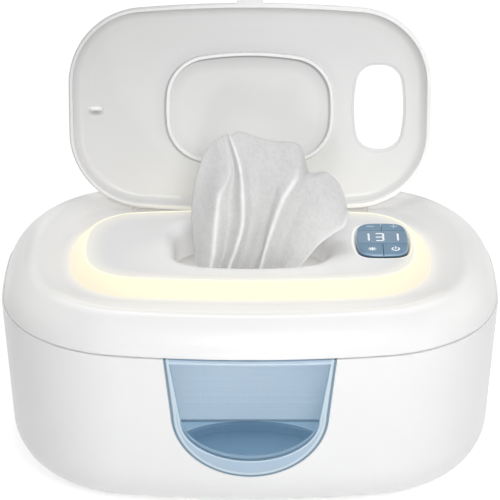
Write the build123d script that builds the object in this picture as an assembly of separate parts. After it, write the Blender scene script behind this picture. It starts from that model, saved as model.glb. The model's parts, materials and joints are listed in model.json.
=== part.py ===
from build123d import *
from math import acos, atan2, cos, degrees, hypot, sin, sqrt
import os

# Baby wipe warmer. Millimetres; Z is up, the front faces -Y, and the feet stand on Z = 0.
# The top cover carries the heater, the night light and the keys, and hinges up at the back.
# The small lid on it covers the dispensing opening, and is modelled open.

# ---------------------------------------------------------------- driving dimensions
BODY_WIDTH = 250.0
BODY_DEPTH = 185.0
UNDERSIDE_Z = 1.2           # underside of the lower housing, carried clear of the table by the feet
PARTING_Z = 91.5            # the line where the top cover meets the lower housing
PARTING_GAP = 0.25          # each side of the parting line
FRAME_SHIFT_Y = -3.5        # moves the origin from the body's middle to the middle of the whole footprint
WALL = 2.6
WINDOW_HALF, WINDOW_X, WINDOW_Z, WINDOW_CENTRE_Z = 41.7, 38.2, 34.2, 60.0   # the window's outline: a U
CLEAR_HALF, CLEAR_X, CLEAR_Z, CLEAR_CENTRE_Z = 39.7, 34.1, 22.7, 57.4       # the clear part inside its rim
CLEAR_TOP_Z = 89.3          # the clear part's level top edge, under the rim's top rail
FLANGE = 3.0
DRAFT = 5.5                 # how far the lower housing tapers in from the parting line to its foot
BOTTOM_RADIUS = 28.0
SHOULDER_RADIUS = 28.0
SHOULDER_TOP_Z = 112.4      # top of the shoulder's arc, before the recess cuts it
CREST_INSET = 15.3          # where the shoulder turns over into the recess
CREST_ROUND = 5.0
VALLEY_Z = 103.7            # floor of the recess that runs round the light ring
VALLEY_INSET = 29.0
VALLEY_ROUND = 9.0
DECK_Z = 110.7              # top of the raised deck with the dispensing opening
DECK_THICK = 2.4
RING_RUN = 7.2              # how far the light ring slopes in from its foot to the deck
RING_WALL = 3.2
CENTRE_Y = 1.5              # the dispensing opening and the lid sit this far behind the body's middle
RING_CENTRE_Y = -1.6        # and the light ring with its deck sits a little in front of it
COVER_UNDER_Z = VALLEY_Z - WALL

LID_RIM_Z = 106.7           # closed lid: rim, ceiling and top
LID_CEILING_Z = 113.2
LID_TOP_Z = 115.6
LID_WALL = 2.0
LID_AXIS_Y = 54.5
LID_AXIS_Z = 105.1
LID_OPEN_DEG = 101.0

COVER_AXIS_Y = 96.2
COVER_AXIS_Z = PARTING_Z

BEYOND = 150.0              # half-width of cutters that reach past the whole part
BELOW_COVER_Z = 80.0        # cutters that run right through the cover go from here
ABOVE_COVER_Z = 125.0       # to here

HEATER_Z = 94.6             # underside of the heater plate, on top of the cover's liner
LINER_Z = 92.6
FLOOR_Z = 32.0              # the tray floor that the wipes stand on


class Oval:
    """An outline of eight tangent arcs: one across each side and one round each corner."""

    def __init__(self, half_x, half_y, front_r, side_r, corner_r, centre=(0.0, 0.0)):
        self.half_x, self.half_y = half_x, half_y
        self.front_r, self.side_r, self.corner_r = front_r, side_r, corner_r
        self.centre = centre
        self.front_c = half_y - front_r
        self.side_c = half_x - side_r
        to_front, to_side = front_r - corner_r, side_r - corner_r
        apart = hypot(self.side_c, self.front_c)
        along = (to_front**2 - to_side**2 + apart**2) / (2 * apart)
        across = sqrt(to_front**2 - along**2)
        ex, ey = self.side_c / apart, -self.front_c / apart
        options = [
            (ex * along - s * ey * across, self.front_c + ey * along + s * ex * across)
            for s in (1, -1)
        ]
        self.corner_c = max(options, key=lambda p: min(p))

    def face(self, inset=0.0, z=0.0):
        cx, cy = self.corner_c
        a = degrees(atan2(cy, cx - self.side_c))
        b = degrees(atan2(cy - self.front_c, cx))
        stretches = (
            (self.side_c, 0, self.side_r, -a, a),
            (cx, cy, self.corner_r, a, b),
            (0, self.front_c, self.front_r, b, 180 - b),
            (-cx, cy, self.corner_r, 180 - b, 180 - a),
            (-self.side_c, 0, self.side_r, 180 - a, 180 + a),
            (-cx, -cy, self.corner_r, 180 + a, 180 + b),
            (0, -self.front_c, self.front_r, 180 + b, 360 - b),
            (cx, -cy, self.corner_r, 360 - b, 360 - a),
        )
        x0, y0 = self.centre
        arcs = [
            CenterArc((x0 + x, y0 + y), r - inset, start, end - start)
            for x, y, r, start, end in stretches
        ]
        return Pos(0, 0, z) * make_face(arcs)

    def prism(self, z0, z1, inset=0.0):
        return extrude(self.face(inset, z0), amount=z1 - z0)

    def column(self, inset=0.0):
        """The outline run right through the cover, to cut or trim with."""
        return self.prism(BELOW_COVER_Z, ABOVE_COVER_Z, inset)

    def slope(self, z0, inset0, z1, inset1):
        return loft([self.face(inset0, z0), self.face(inset1, z1)], ruled=True)


BODY = Oval(BODY_WIDTH / 2, BODY_DEPTH / 2, 440.0, 465.0, 68.5)
RING = Oval(91.0, 49.5, 535.0, 95.5, 33.7, (0, RING_CENTRE_Y))
LID = Oval(94.3, 55.1, 700.0, 1500.0, 40.0, (0, CENTRE_Y))
FUNNEL = Oval(46.5, 33.5, 170.0, 600.0, 24.5, (0, CENTRE_Y))
SEAL = Oval(43.8, 30.0, 158.0, 81.0, 22.4, (0, 2.7))
PANEL = Oval(13.5, 19.1, 60.0, 70.0, 7.0, (66.9, 2.0))
LID_WINDOW = Oval(12.8, 22.3, 400.0, 81.0, 10.2, (67.3, 2.3))


def block(x0, x1, y0, y1, z0, z1):
    """A box between two corners."""
    return Pos((x0 + x1) / 2, (y0 + y1) / 2, (z0 + z1) / 2) * Box(x1 - x0, y1 - y0, z1 - z0)


def layer(z0, z1):
    """A level slab wider than the whole part."""
    return block(-BEYOND, BEYOND, -BEYOND, BEYOND, z0, z1)


def rod(radius, x0, x1, y, z):
    """A round bar along X."""
    return Pos((x0 + x1) / 2, y, z) * Rot(0, 90, 0) * Cylinder(radius, x1 - x0)


def post(radius, x, y, z0, z1):
    """A round bar along Z."""
    return Pos(x, y, (z0 + z1) / 2) * Cylinder(radius, z1 - z0)


def bore(radius, x, y):
    """A round cutter right through the cover."""
    return post(radius, x, y, BELOW_COVER_Z, ABOVE_COVER_Z)


def side_profile(points, x0, x1):
    """A prism along X whose outline is given as (y, z) points."""
    outline = Plane.YZ * make_face(Polyline(*points, close=True))
    return Pos(x0, 0, 0) * extrude(outline, amount=x1 - x0)


def flat_edges(part, z):
    """The edges that lie in the level plane at this height."""
    return part.edges().filter_by_position(Axis.Z, z - 0.01, z + 0.01)


# ---------------------------------------------------------------- lower housing and what it holds
def drafted_inset(z):
    return DRAFT * (PARTING_Z - z) / (PARTING_Z - UNDERSIDE_Z)


def lower_form(inset):
    """The bowl shape of the lower body, shrunk by an even wall."""
    z0 = UNDERSIDE_Z + inset
    bowl = BODY.slope(z0, inset + drafted_inset(z0), PARTING_Z, inset)
    return fillet(flat_edges(bowl, z0), BOTTOM_RADIUS - inset)


def window_prism(half_top, half_x, half_z, centre_z):
    """A U seen from the front: straight sides that lean in to half an ellipse, run through the front wall."""
    top_z = PARTING_Z + 1
    rise = (top_z - centre_z) * half_x / half_z
    lean = atan2(rise, half_top) - acos(half_x / hypot(half_top, rise))
    touch_x, touch_z = half_x * cos(lean), centre_z + half_z * sin(lean)
    start, round_bottom = 180 - degrees(lean), 180 + 2 * degrees(lean)
    outline = [
        Line((-half_top, top_z), (half_top, top_z)),
        Line((half_top, top_z), (touch_x, touch_z)),
        EllipticalCenterArc((0, centre_z), half_x, half_z, start, arc_size=round_bottom),
        Line((-touch_x, touch_z), (-half_top, top_z)),
    ]
    behind_wall_y, through = -60.0, 45.0
    front_plane = Plane(origin=(0, behind_wall_y, 0), x_dir=(1, 0, 0), z_dir=(0, -1, 0))
    return extrude(front_plane * make_face(outline), amount=through)


def window_outline(grow):
    return window_prism(WINDOW_HALF + grow, WINDOW_X + grow, WINDOW_Z + grow, WINDOW_CENTRE_Z)


WINDOW_FIT = 0.15           # the window's clearance in the wall
RIM_DEEP = 3.2              # how far the window's rim stands in behind the wall
HOUSING_TOP = PARTING_Z - PARTING_GAP
FOOT_R, FOOT_HIGH, FOOT_SINK = 7.0, 2.2, 1.0
FOOT_SPOTS = [(sx * 74, sy * 40) for sx in (1, -1) for sy in (1, -1)]
TRAY_POSTS = [(sx * 80, sy * 42) for sx in (1, -1) for sy in (1, -1)] + [(50, -56), (-50, -56)]
TRAY_THICK = 2.2
TRAY_INSET = 7.3
SCOOP_Y, SCOOP_HALF_X, SCOOP_HALF_Y, SCOOP_DEEP = -66.5, 36.0, 20.0, 4.0
STACK_HALF_X, STACK_FRONT_Y, STACK_BACK_Y, STACK_HIGH = 97.0, -43.4, 43.0, 56.0
COVER_HINGE_X = (34.0, -34.0)
KNUCKLE_R = 3.4
PIN_R = 1.5
PIN_HOLE_R = 1.55
HINGE_HALF = 11.0
MIDDLE_HALF = 4.7


def bowl_layer(inset0, inset1):
    """The part of the bowl between two depths below its outer surface."""
    return lower_form(inset0) - lower_form(inset1)


def below_rim(part):
    return part - layer(HOUSING_TOP, ABOVE_COVER_Z)


def hinge_rod(radius, hinge_x, half_x):
    """A round bar on the main hinge's axis."""
    return rod(radius, hinge_x - half_x, hinge_x + half_x, COVER_AXIS_Y, COVER_AXIS_Z)


def housing_knuckles():
    """Two outer knuckles for each hinge, on arms that grow out of the rear wall."""
    root_y, root_z = 86.0, 76.0
    arm = [
        (root_y, root_z), (root_y + 5, root_z), (COVER_AXIS_Y + 2.6, COVER_AXIS_Z - 2.3),
        (COVER_AXIS_Y, COVER_AXIS_Z - 0.5), (root_y, HOUSING_TOP),
    ]
    knuckles = []
    for hinge_x in COVER_HINGE_X:
        for x0, x1 in ((hinge_x - HINGE_HALF, hinge_x - 5), (hinge_x + 5, hinge_x + HINGE_HALF)):
            knuckles.append(side_profile(arm, x0, x1) + rod(KNUCKLE_R, x0, x1, COVER_AXIS_Y, COVER_AXIS_Z))
    return knuckles


def lower_housing():
    shell = below_rim(bowl_layer(0, WALL))
    outside = lower_form(WALL)
    for knuckle in housing_knuckles():
        shell += knuckle - outside
    shell -= window_outline(WINDOW_FIT)
    for x, y in TRAY_POSTS:
        shell += post(4.5, x, y, UNDERSIDE_Z + 1.5, FLOOR_Z - TRAY_THICK) & lower_form(0.5)
    for x, y in FOOT_SPOTS:
        shell -= post(FOOT_R + 0.2, x, y, UNDERSIDE_Z - 1, UNDERSIDE_Z + FOOT_SINK)
    for hinge_x in COVER_HINGE_X:
        shell -= hinge_rod(PIN_HOLE_R, hinge_x, HINGE_HALF + 1)
    return shell


def front_window():
    """One clear moulding: a flush pane, a flange behind the wall, and a deep rim round the clear part."""
    outer = window_outline(0)
    seat = window_outline(FLANGE)
    clear = window_prism(CLEAR_HALF, CLEAR_X, CLEAR_Z, CLEAR_CENTRE_Z) - layer(CLEAR_TOP_Z, ABOVE_COVER_Z)
    pane = bowl_layer(0, WALL + 0.05) & outer
    flange = bowl_layer(WALL + 0.05, WALL + 1.5) & (seat - clear)
    rim = bowl_layer(WALL, WALL + RIM_DEEP) & (outer - clear)
    return below_rim(pane + flange + rim)


def wipe_tray():
    """The floor of the wipe chamber, with a low rim and a finger scoop behind the window."""
    inset, under = TRAY_INSET, FLOOR_Z - TRAY_THICK
    wall, rim_high = 1.8, 9.0
    floor = lower_form(inset) & layer(under, FLOOR_Z)
    behind_window_y = -60.0
    rim = bowl_layer(inset, inset + wall)
    rim &= block(-BEYOND, BEYOND, behind_window_y, BEYOND, FLOOR_Z - 1, FLOOR_Z + rim_high)
    cup = scoop(wall, under - SCOOP_DEEP) & lower_form(inset)
    return floor + rim + cup - scoop(0, FLOOR_Z - SCOOP_DEEP)


def scoop(grow, z):
    """The finger scoop's oval, from its floor up past the tray."""
    oval = Ellipse(SCOOP_HALF_X + grow, SCOOP_HALF_Y + grow)
    return Pos(0, SCOOP_Y, z) * extrude(oval, amount=SCOOP_DEEP + 1)


def rubber_feet():
    return [
        chamfer(flat_edges(post(FOOT_R, x, y, 0, FOOT_HIGH), 0), 0.6)
        for x, y in FOOT_SPOTS
    ]


def wipe_stack():
    """The folded wipes, standing on the tray behind the window."""
    pile = block(-STACK_HALF_X, STACK_HALF_X, STACK_FRONT_Y, STACK_BACK_Y, FLOOR_Z, FLOOR_Z + STACK_HIGH)
    return fillet(pile.edges().filter_by(Axis.Z), 6)


# ---------------------------------------------------------------- top cover
TROUGH_Z = 100.4            # rear trough that the open lid's edge swings down into
TROUGH_HALF_X = 62.0
TROUGH_BACK_Y = 65.5
COVER_BOSSES = [(sx * 103, sy * 38) for sx in (1, -1) for sy in (1, -1)] + [
    (sx * 44, y) for sx in (1, -1) for y in (-74.5, 76)
]
SCREW_R, PILOT_R, SCREW_HEAD_R, SCREW_HEAD_HIGH = 1.1, 1.15, 2.4, 1.3
LINER_SCREW, PLATE_SCREW = 6.0, 8.0
LUG_R, LUG_HALF_X, LUG_INNER_X = 3.0, 25.0, 15.3
LID_PIN_R, LID_PIN_HOLE_R = 1.2, 1.25
INLET_X, INLET_Z, INLET_NOSE_R = -56.0, 98.7, 3.6
INLET_SEAT_Y, INLET_WELL_R = 77.0, 4.8
BARREL_R, BARREL_PIN_R = 2.75, 1.0
OUTSIDE_Y = 100.0           # behind the rear wall
BOSS_R = 3.2
LIP_INSET = 5.2             # the locating lip of the cover's liner, inside the housing's wall
LIP_FOOT_Z = 88.4
RING_FOOT_Z = 99.2
DECK_INSET = RING_RUN + 0.9   # the ring shows a lit flat lip round the deck
DECK_UNDER_Z = DECK_Z - DECK_THICK
DECK_POSTS = [(sx * 50, RING_CENTRE_Y + sy * 30) for sx in (1, -1) for sy in (1, -1)]
THROAT_INSET, COLLAR_INSET = 8.0, 5.8      # inner and outer face of that collar
KEY_UNDER_Z, KEY_TOP_Z = 109.2, 112.2
KEY_GAP = 0.3
PAD_GAP = 0.35
POCKET_BEVEL = 0.7          # the bevel round the key pad's pocket
THROAT_Z = 93.0             # lower end of the throat's collar
PLATE_THICK, FILM_THICK = 1.2, 0.4
UPPER_SPLIT_Y, LOWER_SPLIT_Y = 11.4, -3.8
BOARD_Z, BOARD_THICK = 102.0, 1.6


def cover_form(inset):
    """The rolled shoulder with the dished recess inside its crest, shrunk by an even wall."""
    top_z = SHOULDER_TOP_Z - inset
    slab = BODY.prism(PARTING_Z - SHOULDER_RADIUS, top_z, inset)
    dome = fillet(flat_edges(slab, top_z), SHOULDER_RADIUS - inset)
    arc_z = SHOULDER_TOP_Z - SHOULDER_RADIUS
    crest_z = arc_z + sqrt(SHOULDER_RADIUS**2 - (SHOULDER_RADIUS - CREST_INSET) ** 2)
    run_per_rise = (VALLEY_INSET - CREST_INSET) / (crest_z - VALLEY_Z)
    over = 6.0
    dish = BODY.slope(
        VALLEY_Z - inset, VALLEY_INSET - inset,
        crest_z + over, CREST_INSET - inset - (over + inset) * run_per_rise,
    )
    form = dome - dish
    form = fillet(form.edges().group_by(Axis.Z)[-1], CREST_ROUND - inset)
    form = fillet(flat_edges(form, VALLEY_Z - inset), VALLEY_ROUND + inset)
    return form - layer(0, PARTING_Z + PARTING_GAP) - trough(inset)


def trough(grow):
    """The pocket behind the light ring, grown by the wall under it."""
    half_x, back = TROUGH_HALF_X + grow, TROUGH_BACK_Y + grow
    under_ring_y, corner_r = 40.0, 5.0
    pocket = block(-half_x, half_x, under_ring_y, back, TROUGH_Z - grow, VALLEY_Z + 6)
    return fillet(pocket.edges().filter_by(Axis.Z), corner_r + grow)


def along_y(radius, y0, y1):
    """A round bar on the power inlet's axis."""
    return Pos(INLET_X, (y0 + y1) / 2, INLET_Z) * Rot(90, 0, 0) * Cylinder(radius, y1 - y0)


def lid_lugs():
    """A pedestal that bridges the ring at the back, with the two lugs that hold the lid's pin."""
    front_y, back_y, foot_z = 43.2, 54.9, 98.0
    profile = [
        (front_y, foot_z), (front_y, 107.6), (back_y - 1.6, VALLEY_Z - 0.2),
        (back_y, VALLEY_Z - 1.3), (back_y, foot_z),
    ]
    pedestal = side_profile(profile, -LUG_HALF_X, LUG_HALF_X)
    pedestal -= rod(LUG_R + 0.4, -LUG_INNER_X, LUG_INNER_X, LID_AXIS_Y, LID_AXIS_Z)
    for x0, x1 in ((-LUG_HALF_X, -LUG_INNER_X), (LUG_INNER_X, LUG_HALF_X)):
        pedestal += rod(LUG_R, x0, x1, LID_AXIS_Y, LID_AXIS_Z)
    return pedestal


def cover_knuckles():
    """The middle knuckle of each main hinge, on an arm from the cover's rear wall."""
    foot_z, root_y, root_z = PARTING_Z + PARTING_GAP, 84.0, 101.0
    arm = [
        (root_y, foot_z), (COVER_AXIS_Y, foot_z), (COVER_AXIS_Y + 2.4, COVER_AXIS_Z + 2.4),
        (root_y + 3, root_z), (root_y, root_z),
    ]
    knuckles = []
    for hinge_x in COVER_HINGE_X:
        web = side_profile(arm, hinge_x - MIDDLE_HALF, hinge_x + MIDDLE_HALF)
        knuckles.append(web + hinge_rod(KNUCKLE_R, hinge_x, MIDDLE_HALF))
    return knuckles


def top_cover():
    outside, cavity = cover_form(0), cover_form(WALL)
    hollow = cavity
    for x, y in COVER_BOSSES:
        hollow -= post(BOSS_R, x, y, HEATER_Z, SHOULDER_TOP_Z)
    hollow -= along_y(INLET_WELL_R + WALL, INLET_SEAT_Y, OUTSIDE_Y)
    shell = outside - hollow - RING.column(-0.1)
    shell += lid_lugs()
    for knuckle in cover_knuckles():
        shell += knuckle - cavity
    for x, y in COVER_BOSSES:
        shell -= post(PILOT_R, x, y, HEATER_Z - 1, HEATER_Z + LINER_SCREW - 0.6)
    for hinge_x in COVER_HINGE_X:
        shell -= hinge_rod(PIN_HOLE_R, hinge_x, MIDDLE_HALF + 1)
    shell -= rod(LID_PIN_HOLE_R, -LUG_HALF_X - 1, LUG_HALF_X + 1, LID_AXIS_Y, LID_AXIS_Z)
    shell -= along_y(INLET_WELL_R, INLET_SEAT_Y + 2, OUTSIDE_Y)
    shell -= along_y(INLET_NOSE_R + 0.1, INLET_SEAT_Y - 2, OUTSIDE_Y)
    return shell


def light_ring():
    """The clear-white diffuser: a sloping band, a ledge for the deck, and a flange under the cover."""
    def frustum(inset):
        slope = RING.slope(VALLEY_Z, inset, DECK_Z, RING_RUN + inset)
        return slope + RING.prism(RING_FOOT_Z, VALLEY_Z, inset)

    ring = frustum(0) + RING.prism(RING_FOOT_Z, COVER_UNDER_Z - 0.05, -3)
    ring -= frustum(RING_WALL) + RING.prism(DECK_UNDER_Z, DECK_Z + 1, DECK_INSET)
    ring -= RING.prism(RING_FOOT_Z - 1, RING_FOOT_Z + 0.5, RING_WALL)
    ring -= trough(WALL + 0.05) - RING.column()
    return ring - behind_lugs(0.3)


def behind_lugs(gap):
    """The stretch of the ring that makes room for the lid's lugs."""
    half_x, front_y = LUG_HALF_X + gap, 41.8
    return block(-half_x, half_x, front_y, BEYOND, BELOW_COVER_Z, ABOVE_COVER_Z)


def led_strip():
    """A strip of small lights that stands inside the ring's foot and shines outwards."""
    front, strip_thick, z0, z1 = RING_WALL + 1.6, 0.4, 99.6, 103.0
    lamp_deep, lamp_wide, lamp_high = 1.2, 3.5, 2.8
    strip = RING.prism(z0, z1, front) - RING.column(front + strip_thick)
    half_x, half_y = RING.half_x - front + lamp_deep / 2, RING.half_y - front + lamp_deep / 2
    lamps = []
    for x in (-52, -39, -26, -13, 0, 13, 26, 39, 52):
        for side in (1, -1):
            edge_y = RING_CENTRE_Y + side * (half_y - x**2 / (2 * RING.front_r))
            lamps.append(Pos(x, edge_y, (z0 + z1) / 2) * Box(lamp_wide, lamp_deep, lamp_high))
    for side in (1, -1):
        for y in (-15, -5, 5, 15):
            edge_x = side * (half_x - y**2 / (2 * RING.side_r))
            lamps.append(Pos(edge_x, RING_CENTRE_Y + y, (z0 + z1) / 2) * Box(lamp_deep, lamp_wide, lamp_high))
    channel = RING.column(RING_WALL + 0.05) - RING.column(front)
    lamps = [lamp & channel for lamp in lamps if abs(lamp.center().X) > LUG_HALF_X + 3 or lamp.center().Y < 0]
    return [strip - behind_lugs(0.6)] + lamps


def near_funnel(edges):
    """The edges round the dispensing opening, leaving out those round the deck's rim."""
    return [e for e in edges if abs(e.center().X) < 60 and abs(e.center().Y - CENTRE_Y) < 35]


def top_deck():
    """The raised deck: a plate whose middle rolls down into the dispensing throat."""
    deck = RING.prism(DECK_UNDER_Z, DECK_Z, DECK_INSET + 0.05)
    deck = fillet(flat_edges(deck, DECK_Z), 0.5)
    deck += FUNNEL.prism(THROAT_Z, DECK_Z - 1, COLLAR_INSET)
    deck = fillet(near_funnel(flat_edges(deck, DECK_UNDER_Z)), COLLAR_INSET - 0.2)
    deck -= FUNNEL.column(THROAT_INSET)
    deck = fillet(near_funnel(flat_edges(deck, DECK_Z)), THROAT_INSET - 0.05)
    for x, y in DECK_POSTS:
        deck += post(3.0, x, y, HEATER_Z + PLATE_THICK, DECK_UNDER_Z + 0.5)
        deck -= post(PILOT_R, x, y, HEATER_Z, HEATER_Z + PLATE_SCREW + 1)
    bevel = PANEL.slope(DECK_Z - POCKET_BEVEL, -PAD_GAP, DECK_Z + 1, -PAD_GAP - POCKET_BEVEL - 1)
    return deck - PANEL.column(-PAD_GAP) - bevel


KEY_X = PANEL.centre[0]
STEM_X, STEM_Y = 4.0, 3.0
KEY_STEMS = {
    "key_minus": (KEY_X - 6.0, 15.2),
    "key_plus": (KEY_X + 6.0, 15.2),
    "key_light": (KEY_X - 6.0, -10.5),
    "key_power": (KEY_X + 6.0, -10.5),
}


def panel_form():
    pad = PANEL.prism(KEY_UNDER_Z, KEY_TOP_Z)
    return fillet(flat_edges(pad, KEY_TOP_Z), 1.3)


def key(stem_x, stem_y):
    """One quarter of the key pad, with the stem that presses its switch."""
    half_gap = KEY_GAP / 2
    right, upper = stem_x > KEY_X, stem_y > UPPER_SPLIT_Y
    x0, x1 = (KEY_X + half_gap, BEYOND) if right else (-BEYOND, KEY_X - half_gap)
    y0, y1 = (UPPER_SPLIT_Y + half_gap, BEYOND) if upper else (-BEYOND, LOWER_SPLIT_Y - half_gap)
    cap = panel_form() & block(x0, x1, y0, y1, BELOW_COVER_Z, ABOVE_COVER_Z)
    stem_z, stem_high = 108.0, 3.0
    return cap + Pos(stem_x, stem_y, stem_z) * Box(STEM_X, STEM_Y, stem_high)


def display_lens():
    y0, y1 = LOWER_SPLIT_Y + KEY_GAP / 2, UPPER_SPLIT_Y - KEY_GAP / 2
    return panel_form() & block(-BEYOND, BEYOND, y0, y1, BELOW_COVER_Z, ABOVE_COVER_Z)


def key_carrier():
    """The frame under the deck that guides the key stems and carries the board on four legs."""
    thick, rim, window_half = 1.6, 3.0, 11.4
    frame = PANEL.prism(DECK_UNDER_Z - thick, DECK_UNDER_Z, -rim) & RING.column(RING_RUN + 1.4)
    y0, y1 = LOWER_SPLIT_Y + 1, UPPER_SPLIT_Y - 1
    frame -= block(KEY_X - window_half, KEY_X + window_half, y0, y1, BELOW_COVER_Z, ABOVE_COVER_Z)
    for x, y in KEY_STEMS.values():
        frame -= Pos(x, y, DECK_UNDER_Z) * Box(STEM_X + 0.8, STEM_Y + 0.8, 6)
    for sx in (1, -1):
        for y in (-16.5, 5.5):
            frame += post(1.6, KEY_X + sx * 12.6, y, BOARD_Z + BOARD_THICK, DECK_UNDER_Z - 0.5)
    return frame


def control_board():
    board = block(KEY_X - 14.2, KEY_X + 14.2, -20, 22, BOARD_Z, BOARD_Z + BOARD_THICK)
    board = fillet(board.edges().filter_by(Axis.Z), 1.5)
    chip = Pos(KEY_X, -3, BOARD_Z - 0.9) * Box(7, 7, 1.8)
    plug = Pos(KEY_X - 8, 12, BOARD_Z - 2.5) * Box(9, 5, 5)
    return board + chip + plug


def key_switches():
    top, body_high, plunger_high = BOARD_Z + BOARD_THICK, 1.4, 0.5
    return [
        Pos(x, y, top + body_high / 2) * Box(5.2, 5.2, body_high)
        + post(1.5, x, y, top + body_high - 0.1, top + body_high + plunger_high)
        for x, y in KEY_STEMS.values()
    ]


def display_module():
    side, y0, y1 = 11.0, LOWER_SPLIT_Y + 1.4, UPPER_SPLIT_Y - 1.4
    return block(KEY_X - side, KEY_X + side, y0, y1, BOARD_Z + BOARD_THICK, KEY_UNDER_Z - 0.2)


def heater_plate():
    """The aluminium plate over the wipes, with the throat's collar through its middle."""
    plate = RING.prism(HEATER_Z, HEATER_Z + PLATE_THICK, 7) - FUNNEL.column(COLLAR_INSET - 0.4)
    for x, y in DECK_POSTS:
        plate -= bore(1.5, x, y)
    return plate


def heater_film():
    z0 = HEATER_Z + PLATE_THICK
    film = RING.prism(z0, z0 + FILM_THICK, 10) - FUNNEL.column(1)
    for x, y in DECK_POSTS:
        film -= bore(4, x, y)
    return film


def thermal_cutoff():
    """A round cutoff can on the film, held by a strap."""
    x, film_top, top = -66.0, HEATER_Z + PLATE_THICK + FILM_THICK, HEATER_Z + 6
    can = fillet(flat_edges(post(6.5, x, CENTRE_Y, film_top, top), top), 0.8)
    return can + block(x - 11, x + 11, CENTRE_Y - 2, CENTRE_Y + 2, film_top, film_top + 1)


def temperature_sensor():
    z0, high = HEATER_Z + PLATE_THICK + FILM_THICK, 2.4
    return fillet(flat_edges(post(2.0, -58, -17, z0, z0 + high), z0 + high), 0.9)


def cover_liner():
    """The tray that closes the cover from below and frames the heater plate."""
    liner = BODY.prism(LINER_Z, HEATER_Z, LIP_INSET - 0.2) - RING.column(12)
    lip = BODY.prism(LIP_FOOT_Z, LINER_Z + 0.5, LIP_INSET) - BODY.column(LIP_INSET + 1.5)
    liner += lip - over_window()
    liner -= along_y(INLET_WELL_R + WALL + 0.1, 60, OUTSIDE_Y)
    for x, y in COVER_BOSSES:
        liner -= bore(SCREW_R + 0.3, x, y)
        liner -= post(SCREW_HEAD_R + 0.2, x, y, BELOW_COVER_Z, LINER_Z + 1.0)
    return liner


def over_window():
    """The stretch of the rim that is left open behind the front window."""
    half_x, behind_y = 50.0, -60.0
    return block(-half_x, half_x, -BEYOND, behind_y, BELOW_COVER_Z, ABOVE_COVER_Z)


def cover_seal():
    """The soft bead round the liner's lip that closes against the housing's wall."""
    bead = BODY.prism(LIP_FOOT_Z + 1, LIP_FOOT_Z + 2.3, WALL + 0.5)
    return bead - BODY.column(LIP_INSET) - over_window()


def screw(x, y, seat_z, length):
    """A pan-head screw that enters upwards, its head's underside on seat_z."""
    head_z, slot_long, slot_wide = seat_z - SCREW_HEAD_HIGH, 2.6, 0.6
    head = fillet(flat_edges(post(SCREW_HEAD_R, x, y, head_z, seat_z), head_z), 0.6)
    head -= Pos(x, y, head_z) * Box(slot_long, slot_wide, 1.0)
    head -= Pos(x, y, head_z) * Box(slot_wide, slot_long, 1.0)
    return head + post(SCREW_R, x, y, seat_z, seat_z + length)


def dc_inlet():
    """The barrel socket behind the cover's rear wall, with its centre pin."""
    front_y, back_y, half_x = INLET_SEAT_Y - 7.4, INLET_SEAT_Y - 0.05, 5.0
    body = block(INLET_X - half_x, INLET_X + half_x, front_y, back_y, INLET_Z - 3.9, INLET_Z + 3.9)
    body += along_y(INLET_NOSE_R, INLET_SEAT_Y - 1, INLET_SEAT_Y + 4.5)
    body -= along_y(BARREL_R, INLET_SEAT_Y - 4.5, OUTSIDE_Y)
    return body + along_y(BARREL_PIN_R, INLET_SEAT_Y - 5, INLET_SEAT_Y + 3.5)


def hinge_pins():
    return [hinge_rod(PIN_R, hinge_x, HINGE_HALF) for hinge_x in COVER_HINGE_X]


# ---------------------------------------------------------------- lid, drawn shut and then opened
TAB_HALF_X, TAB_OUT, TAB_HIGH = 7.0, 2.0, 2.6
ARM_HALF_X = 15.0
SEAL_WIDE, SEAL_DEEP = 1.8, 0.6
SEAL_Z = DECK_Z + 0.35      # the closed seal's lower edge
CATCH_X, CATCH_Y, CATCH_HIGH = -79.9, 3.1, 2.1
CATCH_LONG, CATCH_WIDE = 7.0, 1.6


def lid_shell():
    lid = fillet(flat_edges(LID.prism(LID_RIM_Z, LID_TOP_Z), LID_TOP_Z), 6)
    lid += finger_tab()
    hollow = LID.prism(LID_RIM_Z - 1, LID_CEILING_Z, LID_WALL)
    lid -= fillet(flat_edges(hollow, LID_CEILING_Z), 4.5)
    lid -= LID_WINDOW.prism(LID_CEILING_Z - 1, LID_TOP_Z + 1)
    lid -= LID_WINDOW.slope(LID_CEILING_Z - 0.2, -1.7, LID_CEILING_Z + 1.4, 0)
    lid -= SEAL.prism(LID_CEILING_Z - 1, LID_CEILING_Z + SEAL_DEEP) - SEAL.column(SEAL_WIDE)
    lid += hinge_arm()
    for x0, x1 in ((-LUG_HALF_X - 0.4, -ARM_HALF_X), (ARM_HALF_X, LUG_HALF_X + 0.4)):
        lid -= rod(LUG_R + 0.4, x0, x1, LID_AXIS_Y, LID_AXIS_Z)
    lid -= rod(LID_PIN_HOLE_R, -ARM_HALF_X - 1, ARM_HALF_X + 1, LID_AXIS_Y, LID_AXIS_Z)
    catch_z = LID_CEILING_Z - CATCH_HIGH
    catch = Pos(CATCH_X, CATCH_Y, catch_z + CATCH_HIGH / 2) * Box(CATCH_LONG, CATCH_WIDE, CATCH_HIGH + 0.2)
    catch = chamfer(flat_edges(catch, catch_z - 0.1), 0.5)
    return opened(lid + catch)


def finger_tab():
    y0 = CENTRE_Y - LID.half_y - TAB_OUT
    tab = block(-TAB_HALF_X, TAB_HALF_X, y0, y0 + 8, LID_RIM_Z, LID_RIM_Z + TAB_HIGH)
    return fillet(tab.edges().filter_by(Axis.Z), 1.8)


def hinge_arm():
    """The web from the lid's rear skirt to the barrel between the cover's lugs."""
    skirt_y, top_z = CENTRE_Y + LID.half_y - 0.6, 111.0
    web = [(LID_AXIS_Y, LID_AXIS_Z + 2), (skirt_y, LID_RIM_Z), (skirt_y, top_z), (skirt_y - 2.8, top_z)]
    barrel = rod(LUG_R, -ARM_HALF_X, ARM_HALF_X, LID_AXIS_Y, LID_AXIS_Z)
    return side_profile(web, -ARM_HALF_X, ARM_HALF_X) + barrel


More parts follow.
